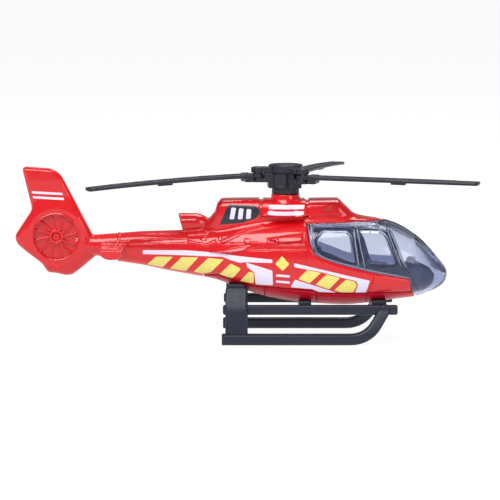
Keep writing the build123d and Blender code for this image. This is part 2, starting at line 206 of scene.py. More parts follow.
def round_box(x, y, z, low, high, r):
    """Box between two corners, with its edges rounded by r."""
    parts = [abs(v - (a + b) / 2) - (b - a) / 2 + r for v, a, b in zip((x, y, z), low, high)]
    outside = np.sqrt(sum(np.maximum(p, 0) ** 2 for p in parts))
    return outside + np.minimum(meet(*parts), 0) - r


def slab(flat, across, half, r):
    """A 2D distance given a thickness of 2 * half across it, with its edges rounded by r."""
    a, b = flat + r, abs(across) - half + r
    return np.sqrt(np.maximum(a, 0) ** 2 + np.maximum(b, 0) ** 2) + np.minimum(np.maximum(a, b), 0) - r


# ---- shape numbers, in millimetres ----
WALL = 1.3
NOSE_TIP = 49.5
# Hull stations: x, half width, keel z, z of the widest point, roof z, upper and lower exponent.
HULL = [
    (-64, 2.4, 25.6, 28.5, 31.2, 2, 2),
    (-57, 3.2, 24.9, 28.3, 31.6, 2, 2),
    (-50, 3.7, 23.2, 27.8, 32.1, 2.1, 2.1),
    (-43, 4.3, 22.1, 27.4, 32.6, 2.2, 2.2),
    (-36, 5.1, 20.6, 27, 32.8, 2.2, 2.3),
    (-29, 6.3, 19.3, 26.4, 33.1, 2.3, 2.3),
    (-22, 8, 18, 25.6, 34, 2.3, 2.3),
    (-14, 10.4, 15.2, 24.2, 35.4, 2.4, 2.4),
    (-5, 12.1, 12.6, 23, 36.8, 2.5, 2.5),
    (6, 12.6, 10.9, 22.2, 37.6, 2.6, 2.6),
    (18, 12.6, 10.3, 21.6, 37.8, 2.6, 2.6),
    (26, 12.2, 10.9, 21.2, 37, 2.5, 2.5),
    (33, 11.1, 11.8, 21, 35.2, 2.4, 2.4),
    (39.5, 9.5, 12.6, 20.8, 31.5, 2.3, 2.3),
    (44.5, 7.3, 14.2, 20.3, 27, 2.2, 2.2),
    (48, 4.6, 16.2, 19.9, 23, 2.1, 2.1),
    (NOSE_TIP, 0.1, 19.7, 19.8, 19.9, 2, 2),
]
COWL = [
    (-24.3, 3, 30, 33, 35.6, 3, 2),
    (-21.7, 4.3, 30, 34, 38.8, 3.5, 2),
    (-20.6, 4.9, 30, 35, 41.6, 4, 2),
    (-19, 5.1, 30, 35, 42.7, 4, 2),
    (-8, 5.9, 30, 35, 42.8, 4, 2),
    (0, 6.2, 30, 35, 42.6, 4, 2),
    (15.6, 5.9, 30, 35, 42.8, 4, 2),
    (18.2, 5.4, 30, 35, 40.8, 3.5, 2),
    (21.2, 4.6, 30, 34, 38, 3, 2),
    (26.5, 2.4, 30, 33, 35.4, 2.5, 2),
]
GLAZING_REAR = [(6.3, 45), (6.3, 35.8), (7.3, 30), (8.6, 27.2)]
GLAZING_SILL = [(10.4, 26.1), (16.2, 24.1), (26.1, 21.6), (37.3, 19.3)]
GLAZING_CHIN = [(38.3, 15.2), (39.6, 13.4), (40.2, 5), (60, 5), (60, 45)]
ROOF_TONGUE = [(-5, 7), (6.3, 7), (18, 6.7), (24.5, 5.2), (28.3, 2.6), (29.8, 0.7)]
belly_side = polygon([
    (-25, 19.7), (-20.5, 20.3), (-13.8, 18), (-9.4, 17.3), (1.7, 16.5), (7.5, 16.1), (9.8, 15.2),
    (38.3, 15.2), (39.3, 13.6), (39.3, 5), (-25, 5),
])
BELLY_GAPS = (-6.3, 9.2, 24.3)
FIN = [
    (-80.3, 52.5), (-70.7, 51.8), (-68.2, 49.8), (-57, 28), (-57.2, 25.7), (-62.7, 21),
    (-65.2, 19.2), (-67.2, 19), (-70.1, 19.8), (-72.6, 19.9), (-74.4, 22.9), (-79.4, 26.6),
    (-82.1, 28.9), (-82.6, 31.2), (-77.3, 39.1), (-77.5, 40.9),
]
FAN_X, FAN_Z, FAN_RADIUS = -69.8, 31.1, 6.75
FAN_FACE, FAN_RECESS, FAN_SPOKES = 2.7, 1.2, 12
TAILPLANE_X, TAILPLANE_HALF_CHORD, TAILPLANE_HALF_SPAN = -52.2, 3.35, 16.5
BOOM_RING_X = -50.7
EXHAUST_Z = 35.2
COWL_JOINTS = (-7.4, 6.5)
COLLAR_TOP = 44.1
# The two rivets: place, seat of the head, top of the shank, and foot of the post above.
RIVET_X = (-14.85, 5.85)
RIVET_SEATS, RIVET_TOPS, POST_FEET = (11.4, 9.2), (21, 17), (17.6, 13.2)

# Side relief, as (x, z) runs and areas: panels, steps, catches and grooves of both cabin sides.
facet_side = polygon([(-5.8, 31.7), (5.2, 33.3), (4.7, 31), (-2.5, 30.7)])
wedge_side = polygon([(-23.1, 27.2), (-10.6, 29.6), (-13, 27.9), (-18.3, 26.9)])
scoop_side = polygon(rounded([(11, 39.3), (13.5, 41.2), (14.3, 39.2)], 0.4))
RIDGES = [
    ([(-19.1, 30.4), (-11.8, 33.8), (-6.9, 35.2)], 0.3),
    ([(-29, 30), (-23.9, 29.2), (-21.4, 30.4)], 0.22),
    ([(-29.3, 32.3), (-23.9, 32.7)], 0.2),
    ([(-9.9, 34.4), (3.3, 36.4)], 0.12),
]
CATCHES = [
    (-12.2, -10.9, 30, 31.4, 0.35), (-10.4, -8.6, 29.8, 30.6, 0.35), (-5.3, -2.4, 30.2, 31.5, 0.3),
    (-4.7, -3, 30.6, 31.1, -0.35), (-25.4, -24.1, 30.7, 31.4, 0.22), (-20.1, -19.3, 30.8, 31.8, 0.22),
]
GROOVES = [
    ([(-18.9, 29.9), (-12.3, 30.2)], 0.2, 0.3),
    ([(-2.4, 30.1), (5.7, 30.2)], 0.2, 0.3),
    ([(-11, 28.7), (5.7, 28.9)], 0.45, 0.35),
    ([(-47, 29.6), (-30, 30.3)], 0.5, 0.14),
    ([(5.9, 33.6), (6.3, 24.6)], 0.12, 0.18),
    ([(26.9, 21), (24.9, 15.6)], 0.12, 0.18),
]

# Window openings and mould lines of the glazing, as (x, z) outlines and runs.
rear_window = polygon(rounded([
    (10.9, 33.5), (18.4, 33.3), (19.7, 31.8), (21, 24.2), (18.6, 24.9), (9.6, 28.6), (9.3, 31.2),
], 1.2))
front_window = polygon(rounded([(21.9, 33.5), (29, 33.1), (30.4, 31.6), (33.2, 23.6), (25.2, 24)], 1.0))
screen_window = polygon(rounded([
    (32.4, 32.4), (34.6, 31.2), (40.6, 27.4), (44.4, 23.4), (46.4, 20.8), (39, 18.5), (34.8, 24.6),
], 1.2))
PILLAR_LINES = [
    ((20.5, 35), (21.9, 22.9)), ((21.3, 35), (24, 22.4)), ((30.6, 34.2), (34.7, 22.6)),
    ((31.6, 34), (36.4, 22)), ((6.9, 35.2), (28, 35)),
]

# Painted highlights: lighter strips along the glazing's mould edges, where light catches them, as (x, z) run
# and width.
HIGHLIGHT_RUNS = [
    ([(20.4, 34.4), (21, 29), (21.8, 23.6)], 0.28),
    ([(21.4, 34.4), (22.4, 29), (23.7, 23.2)], 0.22),
    ([(30.7, 33.6), (32.6, 28.5), (34.6, 23.3)], 0.22),
    ([(31.6, 33.2), (33.8, 28.5), (36, 23)], 0.30),
    ([(9.2, 27.5), (11.8, 26), (16.4, 24.5), (26, 22.1), (36.7, 19.8)], 0.22),
    ([(7.7, 33), (8.3, 30.3), (9.2, 27.5)], 0.2),
]

# Cabin interior, as (x, z) outlines.
seat_side = polygon(rounded([
    (24, 16.3), (24, 22.5), (21.6, 31.6), (23.4, 31.8), (26.4, 22.4), (32, 21.6), (32, 16.3),
], 0.9))
bench_side = polygon(rounded([
    (9, 16.3), (9, 20.6), (9.4, 27), (11.2, 27), (12.4, 20.8), (17, 20), (17, 16.3),
], 0.9))
console_side = polygon(rounded([
    (35.4, 14), (36.4, 21), (37.8, 24.2), (40.4, 23.8),
    (43.2, 22.2), (45, 19.8), (44.6, 17), (41.5, 14),
], 0.9))

# Landing gear.
GEAR_REAR, RUNNER_HALF, CLEARANCE = -19.3, 1.65, 0.03
strut_end = polygon(rounded([
    (12.9, 2.6), (15.6, 2.6), (13.3, 11), (9.8, 16.9), (7.4, 16.9), (9.5, 10.4),
], 1.4))
# Each beam: rear x, front x, low z, high z, half length, and whether a rivet goes through it.
BEAMS = {
    "rear": (-17.3, -12.4, 11.4, 17, 9.6, True),
    "mid": (4, 7.7, 9.2, 12, 10.5, True),
    "front": (26, 30.4, 9.2, 12.2, 10.5, False),
}

# Rotor: the arms' directions, and for each blade its direction and how far its tip droops.
ARM_ANGLES = (-54, 66, 186)
BLADE_ANGLES = (-19.2, 73.9, 202)
BLADE_DROOPS = (0.1, 2, 2.2)
PIN_CIRCLE, PIN_HOLE, MAST_HOLE, ARM_END = 8.6, 0.62, 1.22, 1.95
BLADE_LENGTH, BLADE_Z = 54.1, 49.8
blade_plan = polygon(rounded([
    (2.3, -2.4), (9, -2.6), (BLADE_LENGTH, -2.6), (BLADE_LENGTH, 2.6), (9, 2.6), (2.3, 2.4),
], 1.3))

# Livery printed on both sides, as (x, z) outlines.
STRIPE = [
    (-43.4, 27.3), (-30.1, 27.5), (-21.7, 27.1), (-15, 26.4), (-4.1, 25.5), (-4.1, 24.5),
    (-12.3, 24.6), (-13.6, 24.3), (-16.3, 24.9), (-19, 25.9), (-26.8, 25.9), (-43.4, 26.1),
]
WHITE_BLOCK = [(-12.1, 24.5), (-4.1, 22.2), (-3.9, 17.6), (-9.1, 17.7), (-9.5, 21.5), (-11.6, 23.1)]
FRONT_BAND = [
    (2.4, 24.5), (25.2, 19.1), (24.1, 15.4), (20.8, 15.4), (21.7, 17.9), (21, 19.1), (16.3, 20.2),
    (10.6, 21.8), (2.4, 23.3),
]
LOWER_BAND = [(2.7, 19.5), (8, 17.8), (13.5, 16), (15.2, 15.4), (10, 15.6), (8.1, 16.5), (1.4, 17.1)]
YELLOW = [
    [(-39.3, 25.4), (-34.2, 25.4), (-37.4, 21.9), (-42.1, 22.8)],
    [(-31.5, 25.4), (-26.4, 25.5), (-30.4, 20.9), (-35.2, 21.6)],
    [(-23.4, 25.4), (-18.7, 25.1), (-22.7, 20.9), (-25.2, 20.3), (-27.9, 20.8)],
    [(-16.6, 24), (-13.5, 22.5), (-16, 19.4), (-20.1, 20.3)],
    [(-11.1, 21.7), (-9.7, 21.4), (-9.7, 18), (-13.8, 18.6)],
    [(6.3, 22.4), (10.5, 21.6), (7.1, 18.4), (3.7, 19.7)],
    [(12.2, 21.1), (16.2, 20), (13, 16.5), (8.9, 18)],
    [(18, 19.5), (20.6, 18.9), (21.3, 17.8), (20.3, 15.5), (16.7, 15.5), (14.5, 16.2)],
    [(-1.2, 26.6), (1, 24.2), (-1, 22.1), (-3.2, 24.2)],
]
WHITE_MARKS = [
    [(-3, 21.1), (1.2, 20.8), (1.2, 20.1), (-3, 20.4)],
    [(-3, 19.2), (1.2, 18.9), (1.2, 18.2), (-3, 18.5)],
]
BLACK_PANEL = [
    (-20, 35.2), (-17.4, 41.3), (-9.4, 41), (-7.9, 40), (-7.9, 38.5), (-9, 37.2), (-13.4, 35.8),
]
PANEL_BARS = [
    [(-16.4, 40.4), (-15, 40.3), (-15.6, 36.9), (-17, 36.9)],
    [(-14.1, 40.2), (-12.7, 40.1), (-13.1, 36.9), (-14.5, 36.9)],
    [(-11.8, 40), (-10.4, 39.9), (-10.6, 37.1), (-12, 37)],
]
COWL_BARS = [
    [(-5, 41.2), (5.7, 41.2), (5.5, 40), (-5.2, 40)],
    [(-5.3, 39.4), (5.5, 39.4), (5.4, 38.4), (-5.5, 38.4)],
]
FIN_BARS = [
    [(-77.2, 45), (-67.8, 44.5), (-67.6, 43.8), (-77, 44.3)],
    [(-76.9, 43.5), (-67.4, 43), (-67.2, 42.3), (-76.7, 42.8)],
]


# ---- meshing ----
# Nodes along a block of the grid and its parts, and how near in nodes the surface makes one finer.
BLOCK, SUB = 8, 2
BLOCK_REACH, SUB_REACH = 1.25 * BLOCK, 1.6 * SUB
# Probe lengths for the surface's direction, in cells.
CROSSING_PROBE, SHADE_PROBE = 0.04, 0.4
# How firmly a vertex is held to the middle of its crossings, and how far it may leave the cell.
HOLD, SLACK = 0.06, 0.05
# An edge is sharp where the cosine between face and field is less than this.
SHARP_COSINE = 0.65
TRIANGLE_LIMIT = 190_000
CHUNK = 60_000
POOL = ThreadPoolExecutor(4)


def in_chunks(field, points):
    """Field values at many points, worked out on all cores."""

    def one(k):
        part = points[k : k + CHUNK]
        return field(part[:, 0], part[:, 1], part[:, 2])

    return np.concatenate([*POOL.map(one, range(0, max(len(points), 1), CHUNK))])


def lattice(*sizes):
    """All whole-number nodes of a box of these sizes."""
    return np.stack(np.meshgrid(*[np.arange(n) for n in sizes], indexing="ij"), -1).reshape(-1, 3)


def sample(field, axes, cell):
    """Field values on the grid. Only small blocks near the surface are worked out node by node."""
    sizes = [-(-len(a) // BLOCK) for a in axes]
    origin = np.array([a[0] for a in axes])
    blocks = lattice(*sizes)
    rough = in_chunks(field, origin + (blocks * BLOCK + (BLOCK - 1) / 2) * cell)
    values = rough.reshape(sizes).astype(np.float32)
    values = values.repeat(BLOCK, 0).repeat(BLOCK, 1).repeat(BLOCK, 2)
    near = blocks[abs(rough) < BLOCK_REACH * cell]
    small = (near[:, None, :] * BLOCK + lattice(*[BLOCK // SUB] * 3) * SUB).reshape(-1, 3)
    middle = in_chunks(field, origin + (small + (SUB - 1) / 2) * cell)
    inner = lattice(SUB, SUB, SUB)
    for k in inner:
        values[tuple((small + k).T)] = middle
    close = small[abs(middle) < SUB_REACH * cell]
    index = (close[:, None, :] + inner).reshape(-1, 3)
    values[tuple(index.T)] = in_chunks(field, origin + index * cell)
    return values[: len(axes[0]), : len(axes[1]), : len(axes[2])], origin


def gradient(field, points, step):
    """Unit direction in which the field grows fastest."""
    base = in_chunks(field, points)
    g = np.stack([in_chunks(field, points + step * np.eye(3)[k]) - base for k in range(3)], 1)
    return g / np.maximum(np.linalg.norm(g, axis=1), 1e-9)[:, None]


def crossings(field, values, origin, cell, axis):
    """Where the surface cuts the grid lines along one axis: start nodes, points and which end is inside."""
    n = values.shape[axis]
    low, high = values.take(range(n - 1), axis), values.take(range(1, n), axis)
    start = np.argwhere((low < 0) != (high < 0))
    v0, v1 = low[tuple(start.T)].astype(float), high[tuple(start.T)].astype(float)
    base, step = origin + start * cell, cell * np.eye(3)[axis]
    guess = np.clip(v0 / (v0 - v1), 0.02, 0.98)
    value = in_chunks(field, base + guess[:, None] * step)
    same = (value < 0) == (v0 < 0)
    t0, f0 = np.where(same, guess, 0.0), np.where(same, value, v0)
    t1, f1 = np.where(same, 1.0, guess), np.where(same, v1, value)
    t = t0 + (t1 - t0) * clamp(f0 / (f0 - f1))
    return start, base + t[:, None] * step, v0 < 0


def polygonise(field, low, high, cell):
    """Dual contouring: vertices and quads of the surface where the field is zero."""
    axes = [np.arange(a - 2 * cell, b + 3 * cell, cell) for a, b in zip(low, high)]
    values, origin = sample(field, axes, cell)
    strides = np.array([values.shape[1] * values.shape[2], values.shape[2], 1])
    cells, points, flips = [], [], []
    for axis in range(3):
        start, where, inside = crossings(field, values, origin, cell, axis)
        b, c = np.eye(3, dtype=int)[[(axis + 1) % 3, (axis + 2) % 3]]
        ring = np.stack([start - b - c, start - c, start, start - b], 1) @ strides
        cells.append(ring)
        points.append(where)
        flips.append(inside)
    cells, points, flips = np.concatenate(cells), np.concatenate(points), np.concatenate(flips)
    normals = gradient(field, points, CROSSING_PROBE * cell)
    used, corner = np.unique(cells, return_inverse=True)
    corner = corner.reshape(-1, 4)
    total = len(used)

    def gather(v):
        return np.bincount(corner.ravel(), np.repeat(v, 4), total)

    count = gather(np.ones(len(points)))
    mass = np.stack([gather(points[:, k]) for k in range(3)], 1) / count[:, None]
    square = np.zeros((total, 3, 3))
    for i in range(3):
        for j in range(i, 3):
            square[:, i, j] = square[:, j, i] = gather(normals[:, i] * normals[:, j])
    height = (normals * points).sum(1)
    right = np.stack([gather(normals[:, k] * height) for k in range(3)], 1)
    right -= np.einsum("nij,nj->ni", square, mass)
    shift = np.linalg.solve(square + HOLD * np.eye(3), right[..., None])[..., 0]
    nodes = np.stack(np.unravel_index(used, values.shape), 1)
    base = origin + nodes * cell
    place = np.clip(mass + shift, base - SLACK * cell, base + (1 + SLACK) * cell)
    return place, np.where(flips[:, None], corner, corner[:, ::-1])


def thin_out(obj):
    """Take triangles away where the surface is smooth, down to the limit."""
    count = sum(len(p.vertices) - 2 for p in obj.data.polygons)
    if count <= TRIANGLE_LIMIT:
        return
    fewer = obj.modifiers.new("fewer", "DECIMATE")
    fewer.ratio = TRIANGLE_LIMIT / count
    shape = obj.evaluated_get(bpy.context.evaluated_depsgraph_get())
    mesh = bpy.data.meshes.new_from_object(shape)
    obj.modifiers.remove(fewer)
    obj.data = mesh


def set_normals(mesh, field, cell):
    """Shade by the field's own direction, and by the face where an edge is sharp."""
    place = np.empty(len(mesh.vertices) * 3)
    mesh.vertices.foreach_get("co", place)
    smooth = gradient(field, place.reshape(-1, 3) / MM, SHADE_PROBE * cell)
    corner = np.empty(len(mesh.loops), int)
    mesh.loops.foreach_get("vertex_index", corner)
    flat, total = np.empty(len(mesh.polygons) * 3), np.empty(len(mesh.polygons), int)
    mesh.polygons.foreach_get("normal", flat)
    mesh.polygons.foreach_get("loop_total", total)
    flat = np.repeat(flat.reshape(-1, 3), total, 0)
    smooth = smooth[corner]
    level = (smooth * flat).sum(1) > SHARP_COSINE
    mesh.shade_smooth()
    mesh.normals_split_custom_set(np.where(level[:, None], smooth, flat).tolist())


def add_object(name, data):
    """New object in the scene."""
    obj = bpy.data.objects.new(name, data)
    SCENE.collection.objects.link(obj)
    return obj


def solid(name, field, low, high, cell):
    """Closed mesh object of a field's surface inside a box, all in millimetres."""
    vertices, faces = polygonise(field, low, high, cell)
    mesh = bpy.data.meshes.new(name)
    mesh.from_pydata((vertices * MM).tolist(), [], faces.tolist())
    obj = add_object(name, mesh)
    thin_out(obj)
    set_normals(obj.data, field, cell)
    return obj


# ---- fuselage ----
hull = Egg(HULL, NOSE_TIP)
cowl = Egg(COWL)
fin_outline = polygon(rounded(FIN, 1.9)[:15] + rounded(FIN, 1.1)[15:])
glazing_side = polygon([*GLAZING_REAR, *curve(GLAZING_SILL), *GLAZING_CHIN])
roof_tongue = polygon([*ROOF_TONGUE, *[(x, -y) for x, y in reversed(ROOF_TONGUE)]])


def glazing_region(x, y, z):
    """The part of the hull that the glazing takes: its side view, less the tongue of the roof."""
    return meet(glazing_side(x, z), -meet(roof_tongue(x, y), 30 - z))


def exhaust(x, y, z):
    """Stub behind the cowl: leaning rear face, shallow bore, and a web down to the boom."""
    ring = np.hypot(y, z - EXHAUST_Z)
    taper = clamp((x + 27.6) / 4.4)
    pipe = ring - (2.95 - 1.9 * taper * taper)
    web = meet(abs(y) - 2.1, abs(z - 33) - 2)
    body = meet(smin(pipe, web, 0.8), x + 22)
    rear = -32.7 + 0.28 * (38.2 - z) - x
    bore = meet(ring - 2.1, -rear - 1.4)
    return meet(smax(body, rear, 0.5), -bore)


def tail(x, y, z):
    """Fin and fan housing with the fan's recess on both sides."""
    ring = np.hypot(x - FAN_X, z - FAN_Z)
    half = 1.5 - 0.25 * clamp((z - 48.2) / 4) - 0.16 * (z > 48.3)
    half = half + 0.1 * clamp((47.2 - z) / 5)
    half = meet(half, FAN_FACE - 0.30 * np.maximum(ring - 8.8, 0))
    half = half + 0.25 * clamp(1.3 - abs(ring - FAN_RADIUS - 0.35) / 0.35)
    edge = fin_outline(x, z)
    body = slab(edge, y, half, 0.35)
    body = smax(body, (edge + y - half + 0.85) * 0.7, 0.3)
    recess = meet(ring - FAN_RADIUS, FAN_FACE - FAN_RECESS - abs(y))
    return smax(body, -recess, 0.15)


def tailplane(x, y, z):
    """Straight wing across the boom: flat top, round belly, rounded tips."""
    off = x - TAILPLANE_X
    u = off / TAILPLANE_HALF_CHORD
    low = 28 - 2.1 * np.sqrt(np.maximum(1 - u * u, 0))
    section = meet(z - 28.75, low - z, abs(off) - TAILPLANE_HALF_CHORD)
    return slab(section, y, TAILPLANE_HALF_SPAN, 0.5)


def cowling(x, y, z):
    """Cowl with its panel joints, panel line and scoop, and the collar below the rotor."""
    body = cowl(x, y, z)
    for place in COWL_JOINTS:
        width = 0.25 + 0.07 * np.maximum(z - 38.5, 0)
        body = smax(body, -meet(abs(x - place) - width, 36.8 - z, -0.55 - body), 0.2)
    line = meet(abs(z - 37.9) - 0.16, COWL_JOINTS[0] - x, x - 15.5, -0.3 - body)
    body = smax(body, -line, 0.12)
    body = smax(body, -meet(scoop_side(x, z), 4.9 - y), 0.15)
    flare = np.hypot(x, y) - 4.35 - 0.14 * np.maximum(COLLAR_TOP - z, 0) ** 2
    return smin(body, smax(flare, meet(z - COLLAR_TOP, 38 - z), 0.25), 0.3)


def ramp_out(inside, lift):
    """A raised area with a short slope round it."""
    return lift * ease(0.5 - inside / 0.45)


def side_relief(x, z):
    """How far the panels, steps and catches stand out from the side, or sink into it."""
    out = ramp_out(facet_side(x, z), 0.1 + 0.24 * np.maximum(33.3 - z, 0))
    out += ramp_out(wedge_side(x, z), 0.05 + 0.3 * np.maximum(29.6 - z, 0))
    for run, lift in RIDGES:
        out = meet(out, lift * ease(1.3 - run_distance(x, z, run) / 0.5))
    for low_x, high_x, low_z, high_z, lift in CATCHES:
        edge = meet(low_x - x, x - high_x, 0) + meet(low_z - z, z - high_z, 0)
        out += lift * ease(1 - edge / 0.3)
    for run, half, depth in GROOVES:
        out -= depth * ease(1.5 - run_distance(x, z, run) / half)
    return out


def upper_skin(x, y, z):
    """Outer surface of everything that is cast in red, before it is split and hollowed."""
    body = hull(x, y, z)
    near = (abs(body) < 1.5) & (x > -52) & (x < 30) & (z > 15)
    relief = np.zeros(np.shape(x))
    relief[near] = side_relief(x[near], z[near]) * clamp((y[near] - 1) / 2)
    body = body - relief
    body = smin(body, meet(abs(x - BOOM_RING_X) - 0.35, body - 0.14), 0.2)
    body = smin(body, cowling(x, y, z), 1.2)
    body = smin(body, exhaust(x, y, z), 0.7)
    body = smin(body, tail(x, y, z), 0.35)
    return smin(body, tailplane(x, y, z), 0.6)


def posts(x, y, z):
    """Posts under the roof that the rivets go up into."""
    out = []
    for place, foot in zip(RIVET_X, POST_FEET):
        ring = np.hypot(x - place, y)
        out.append(meet(ring - 1.9, 1 - ring, foot - z, z - 37))
    return join(*out)


def casting(x, y, z):
    """Everything cast in red: hollow, open to the glazing and the belly, with posts and a mast hole."""
    y = abs(y)
    cavity = meet(hull(x, y, z, WALL), -21 - x)
    body = meet(upper_skin(x, y, z), -cavity)
    body = smax(body, 0.06 - glazing_region(x, y, z), 0.9)
    body = smax(body, 0.12 - belly_side(x, z), 0.25)
    body = join(body, posts(x, y, z))
    return meet(body, -meet(np.hypot(x, y) - 1.26, 30 - z))


def belly(x, y, z):
    """Lower skin of the fuselage, with gaps across it and holes for the rivets."""
    y = abs(y)
    skin = hull(x, y, z, 0.12)
    body = smax(skin, belly_side(x, z) + 0.05, 0.5)
    for place in BELLY_GAPS:
        body = smax(body, -meet(abs(x - place) - 0.14, -0.3 - skin), 0.12)
    holes = [1.02 - np.hypot(x - place, y) for place in RIVET_X]
    return meet(body, -hull(x, y, z, WALL), *holes)


def pillar_lines(x, z):
    """Distance to the fine mould lines on the glazing: beside the pillars and round the windows."""
    lines = [run_distance(x, z, run) for run in PILLAR_LINES]
    rims = [abs(window(x, z) - 0.25) for window in (rear_window, front_window)]
    return join(*lines, *rims)


def nose_wall(x, z):
    """How much thicker the glazing is at the nose, and less so at its chin."""
    return 2 * clamp((x - 39) / 6.5) * clamp((z - 15) / 4)


def glazing(x, y, z):
    """Clear moulding over the cabin, with its mould lines and the spine down the windscreen."""
    y = abs(y)
    skin = hull(x, y, z, 0.1)
    near = abs(skin) < 1
    lift = np.zeros(np.shape(x))
    lift[near] = 0.22 * clamp(1.5 - pillar_lines(x[near], z[near]) / 0.2) * (y[near] > 2)
    body = smax(skin - lift, glazing_region(x, y, z) + 0.07, 0.5)
    spine = smax(y - 0.7, skin - 0.35 * clamp((46.5 - x) / 5), 0.2)
    spine = meet(smax(spine, 29.9 - x, 0.3), 22 - z)
    body = smin(body, spine, 0.15)
    return meet(body, -hull(x, y, z, WALL + nose_wall(x, z)))


def window_frame(outer, inner, reach):
    """Lining behind the glazing with the window openings left out, between two depths below the hull."""

    def field(x, y, z):
        y = abs(y)
        body = meet(hull(x, y, z, outer), -hull(x, y, z, inner), glazing_region(x, y, z) - reach)
        openings = join(rear_window(x, z), front_window(x, z), screen_window(x, z))
        body = smax(body, -meet(openings, 2.4 - y), 0.2)
        return smax(body, meet(x - 31 - 0.51 * (33.8 - z), 8.4 - x), 0.2)

    return field


def interior(x, y, z):
    """Dark moulding: floor, two front seats with headrests, rear bench and console."""
    y = abs(y)
    base = round_box(x, y, z, (8.6, -20, 15.4), (43, 20, 17), 0.3)
    seat = slab(seat_side(x, z), y - 5.2, 3.7, 0.8)
    head = round_box(x, y, z, (20.6, 3.6, 30.6), (22.7, 6.8, 33.4), 0.7)
    bench = slab(bench_side(x, z), y, 9.5, 0.8)
    console = slab(console_side(x, z), y, 6.5, 0.8)
    post_gap = 2.3 - join(*[np.hypot(x - place, y) for place in RIVET_X])
    room = hull(x, y, z, WALL + 0.3 + nose_wall(x, z))
    return meet(join(base, smin(seat, head, 0.6), bench, console), room, post_gap)


def fan_blades(side):
    """Spokes, hub boss and its cap in the fan's recess."""
    floor_y = FAN_FACE - FAN_RECESS

    def field(x, y, z):
        depth = side * y
        u, v = x - FAN_X, z - FAN_Z
        ring, angle = np.hypot(u, v), np.arctan2(v, u)
        bars = []
        for k in range(FAN_SPOKES):
            turn = 2 * math.pi * k / FAN_SPOKES + 0.14 + 0.05 * math.sin(5 * k)
            off = np.angle(np.exp(1j * (angle - turn - 0.035 * (ring - 4)))) * ring
            bars.append(abs(off) - 0.34)
        bars = meet(join(*bars), ring - FAN_RADIUS - 0.1, 1.2 - ring)
        bars = smax(bars, abs(depth - floor_y) - 0.75, 0.3)
        boss = smax(ring - 2.1, abs(depth - floor_y) - 0.9, 0.3)
        boss = smax(boss, -meet(abs(ring - 1.25) - 0.26, floor_y + 0.4 - depth), 0.1)
        boss = smax(boss, -meet(ring - 0.35, floor_y + 0.5 - depth), 0.1)
        return smin(bars, boss, 0.25)

    return field


# ---- landing gear ----
def skid_path():
    """Side view of the runner's centre line: straight, then one bend up to the toe."""
    heel, corner, toe = Vector((GEAR_REAR, RUNNER_HALF)), Vector((24.4, RUNNER_HALF)), Vector((29.8, 10.2))
    reach = 5.2
    start = corner + (heel - corner).normalized() * reach
    end = corner + (toe - corner).normalized() * reach
    return [tuple(heel), *bend(start, corner, end, 9), tuple(toe)]


SKID_PATH = skid_path()


def skid(x, y, z):
    """Both runners, leaning in as they rise to their toes, clear of the step bars."""
    y = abs(y)
    lean = 14.6 - 3 * clamp((z - 3) / 7.2) ** 1.3
    body = slab(run_distance(x, z, SKID_PATH) - RUNNER_HALF, y - lean, 1.5, 0.75)
    body = smax(body, GEAR_REAR - x, 0.5)
    return meet(body, CLEARANCE - step_bar(x, y, z))


def step_bar(x, y, z):
    """Straight bars above the runners."""
    return round_box(x, abs(y), z, (-19, 10.5, 8.65), (33.7, 12.5, 11.65), 0.7)


strut_front = polygon(rounded([(-18.3, -1.5), (-11.4, -1.5), (-11.4, 16.9), (-18.3, 16.9)], 1.4))


def rear_strut(x, y, z):
    """Wide leg from the belly down over the step bar to the runner."""
    y = abs(y)
    leg = slab(strut_end(y, z), x - RIVET_X[0], 3.45, 0.8)
    leg = smax(leg, slab(strut_front(x, z), y - 11, 6, 0.1), 0.3)
    others = join(skid(x, y, z), step_bar(x, y, z), hull(x, y, z, 0.1))
    return meet(leg, CLEARANCE - others)


def cross_beam(rear, front, low, high, reach, riveted):
    """Bar under the belly, cut to the hull, with a rivet hole or a pocket below."""

    def field(x, y, z):
        y = abs(y)
        off = x - (rear + front) / 2
        beam = round_box(x, y, z, (rear, -reach, low), (front, reach, high + 0.6), 0.5)
        if riveted:
            beam = smax(beam, 1.03 - np.hypot(off, y), 0.1)
        else:
            beam = smax(beam, -meet(abs(off) - 1.3, z - low - 0.7, y - 6.5), 0.2)
        others = join(rear_strut(x, y, z), skid(x, y, z), step_bar(x, y, z), hull(x, y, z, 0.1))
        return meet(beam, CLEARANCE - others)

    return field


def rivet(x, y, z):
    """Both rivets: a pressed head with a dished middle, on a shank."""
    out = []
    for place, seat, top in zip(RIVET_X, RIVET_SEATS, RIVET_TOPS):
        ring = np.hypot(x - place, y)
        head = smax(ring - 1.7, meet(seat - 0.6 - z, z - seat), 0.25)
        head = smax(head, 1.15 - np.hypot(ring, z - seat + 1.5), 0.15)
        shank = smax(ring - 0.97, meet(seat - 0.3 - z, z - top), 0.15)
        out += [head, shank]
    return join(*out)


# ---- rotor ----
def turned(x, y, degrees):
    """Coordinates along and across a direction in plan."""
    c, s = math.cos(math.radians(degrees)), math.sin(math.radians(degrees))
    return x * c + y * s, y * c - x * s


def pin_holes(x, y):
    """Upright hole at the end of each arm."""
    along = [turned(x, y, degrees) for degrees in ARM_ANGLES]
    return join(*[np.hypot(u - PIN_CIRCLE, v) for u, v in along]) - PIN_HOLE


def flat_arm(u, v, z, low, high, r):
    """Flat arm along +u with a round end about its pin."""
    bar = round_box(u, v, z, (0, -2.3, low), (7.6, 2.3, high), r)
    return smin(bar, smax(np.hypot(u - PIN_CIRCLE, v) - ARM_END, meet(low - z, z - high), r), 0.4)


